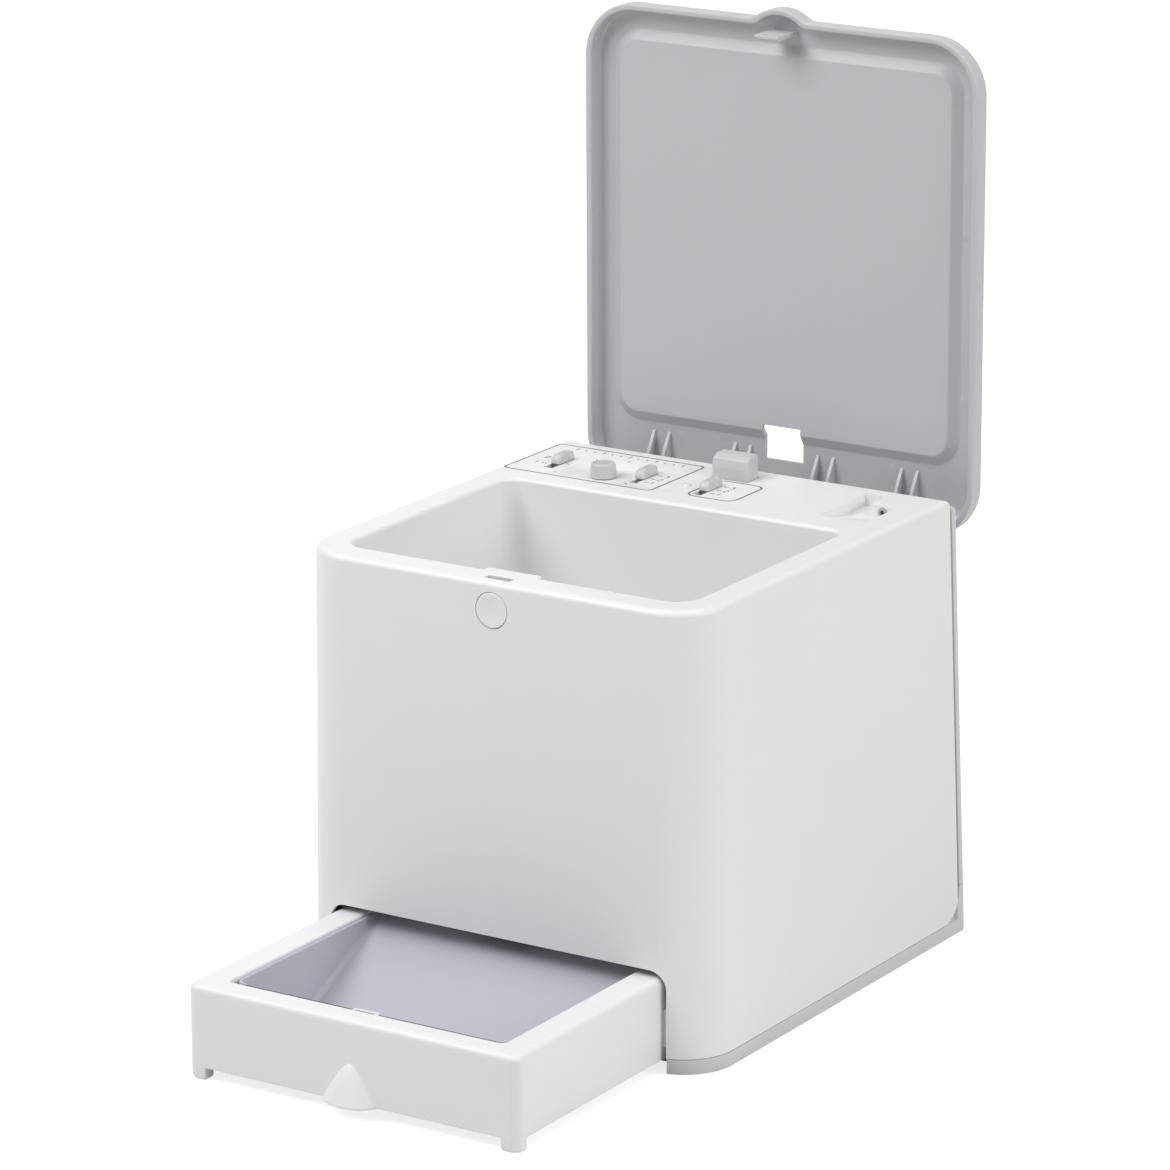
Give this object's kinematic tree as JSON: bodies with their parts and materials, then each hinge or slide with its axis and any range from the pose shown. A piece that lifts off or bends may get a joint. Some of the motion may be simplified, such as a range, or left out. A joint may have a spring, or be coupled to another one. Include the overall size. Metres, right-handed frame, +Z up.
{
  "type": "remote treat dispenser",
  "caption": "White square dispenser with a hopper under a grey flip-up lid, a turning metering disc, deck controls and a pull-out treat drawer.",
  "frame": {"origin": "on the floor plane under the middle of the deck; the base's underside is 0.4 mm above it and the rubber feet stand on it", "axes": "+Z up, +X to the right seen from the front, +Y to the rear; the lid stands open and the drawer is pulled out towards -Y"},
  "size_m": [0.2234, 0.3831, 0.4378],
  "materials": {
    "white_plastic": "satin white moulding",
    "grey_plastic": "fine satin grey moulding",
    "dish_plastic": "satin blue-grey moulding",
    "key_plastic": "satin warm grey moulding",
    "gear_plastic": "natural acetal",
    "steel": "bright drawn steel",
    "rubber": "matt",
    "circuit_board": "green solder mask",
    "switch_black": "black moulding",
    "cell_sleeve": "dark printed sleeve, without print",
    "lens_plastic": "clear diffusing"
  },
  "bodies": {
    "housing": {"hood": "white_plastic", "base": "grey_plastic", "rear_cover": "grey_plastic", "hinge_pin_left": "steel", "hinge_pin_right": "steel", "hopper_funnel": "white_plastic", "hopper_floor": "white_plastic", "outlet_guard": "white_plastic", "chute": "white_plastic", "mechanism_frame": "white_plastic", "idler_pin": "steel", "motor": "steel", "gear_bracket": "white_plastic", "release_spring": "steel", "dispense_spring": "steel", "dispense_switch": "switch_black", "left_switch": "switch_black", "right_switch": "switch_black", "mode_switch": "switch_black", "dial_pot": "switch_black", "led_lens": "lens_plastic", "jack_socket": "switch_black", "control_board": "circuit_board", "buzzer": "switch_black", "battery_cell_1": "cell_sleeve", "battery_cell_2": "cell_sleeve", "battery_cell_3": "cell_sleeve", "battery_cell_4": "cell_sleeve", "battery_contact_left": "steel", "battery_contact_right": "steel", "battery_door": "grey_plastic", "case_screw_1": "steel", "case_screw_2": "steel", "case_screw_3": "steel", "case_screw_4": "steel", "cover_screw_left": "steel", "cover_screw_right": "steel", "door_screw": "steel", "rubber_foot_1": "rubber", "rubber_foot_2": "rubber", "rubber_foot_3": "rubber", "rubber_foot_4": "rubber"},
    "lid": {"lid": "grey_plastic"},
    "drawer": {"drawer": "white_plastic", "tray_insert": "dish_plastic"},
    "disc": {"metering_disc": "gear_plastic", "stirring_cone": "gear_plastic", "disc_shaft": "steel", "output_gear": "gear_plastic"},
    "idler": {"idler_gear": "gear_plastic"},
    "pinion": {"motor_pinion": "gear_plastic"},
    "release": {"release_button": "white_plastic", "latch_hook": "gear_plastic"},
    "dispense": {"dispense_button": "key_plastic"},
    "left_switch_cap": {"left_slider": "key_plastic"},
    "right_switch_cap": {"right_slider": "key_plastic"},
    "mode_switch_cap": {"mode_slider": "key_plastic"},
    "dial": {"dial_knob": "key_plastic"}
  },
  "joints": [
    {"name": "lid_hinge", "type": "hinge", "parent": "housing", "child": "lid", "pos_m": [0, 0.1172, 0.2006], "axis": [1, 0, 0], "range_deg": [0, 90]},
    {"name": "drawer_slide", "type": "slide", "parent": "housing", "child": "drawer", "axis": [0, 1, 0], "range_m": [0, 0.116]},
    {"name": "disc_spin", "type": "hinge", "parent": "housing", "child": "disc", "pos_m": [0, -0.02825, 0.12], "axis": [0, 0, 1], "continuous": true},
    {"name": "idler_spin", "type": "hinge", "parent": "housing", "child": "idler", "pos_m": [0.02298, -0.00897, 0.095], "axis": [0, 0, 1], "continuous": true},
    {"name": "pinion_spin", "type": "hinge", "parent": "housing", "child": "pinion", "pos_m": [0.04647, -0.00042, 0.09], "axis": [0, 0, 1], "continuous": true},
    {"name": "release_push", "type": "slide", "parent": "housing", "child": "release", "axis": [0, 1, 0], "range_m": [0, 0.002], "stiffness_N_per_m": 200, "springref_m": -0.001, "deforming": ["release_spring"]},
    {"name": "dispense_push", "type": "slide", "parent": "housing", "child": "dispense", "axis": [0, 0, -1], "range_m": [0, 0.003], "stiffness_N_per_m": 200, "springref_m": -0.002, "deforming": ["dispense_spring"]},
    {"name": "left_switch_slide", "type": "slide", "parent": "housing", "child": "left_switch_cap", "axis": [0, 1, 0], "range_m": [-0.008, 0]},
    {"name": "right_switch_slide", "type": "slide", "parent": "housing", "child": "right_switch_cap", "axis": [0, 1, 0], "range_m": [-0.008, 0]},
    {"name": "mode_switch_slide", "type": "slide", "parent": "housing", "child": "mode_switch_cap", "axis": [0, 1, 0], "range_m": [-0.008, 0]},
    {"name": "dial_turn", "type": "hinge", "parent": "housing", "child": "dial", "pos_m": [-0.0585, 0.0712, 0.2175], "axis": [0, 0, 1], "range_deg": [-150, 150]}
  ],
  "couplings": [
    {"joint": "idler_spin", "follows": "disc_spin", "ratio": -4},
    {"joint": "pinion_spin", "follows": "disc_spin", "ratio": 16}
  ]
}
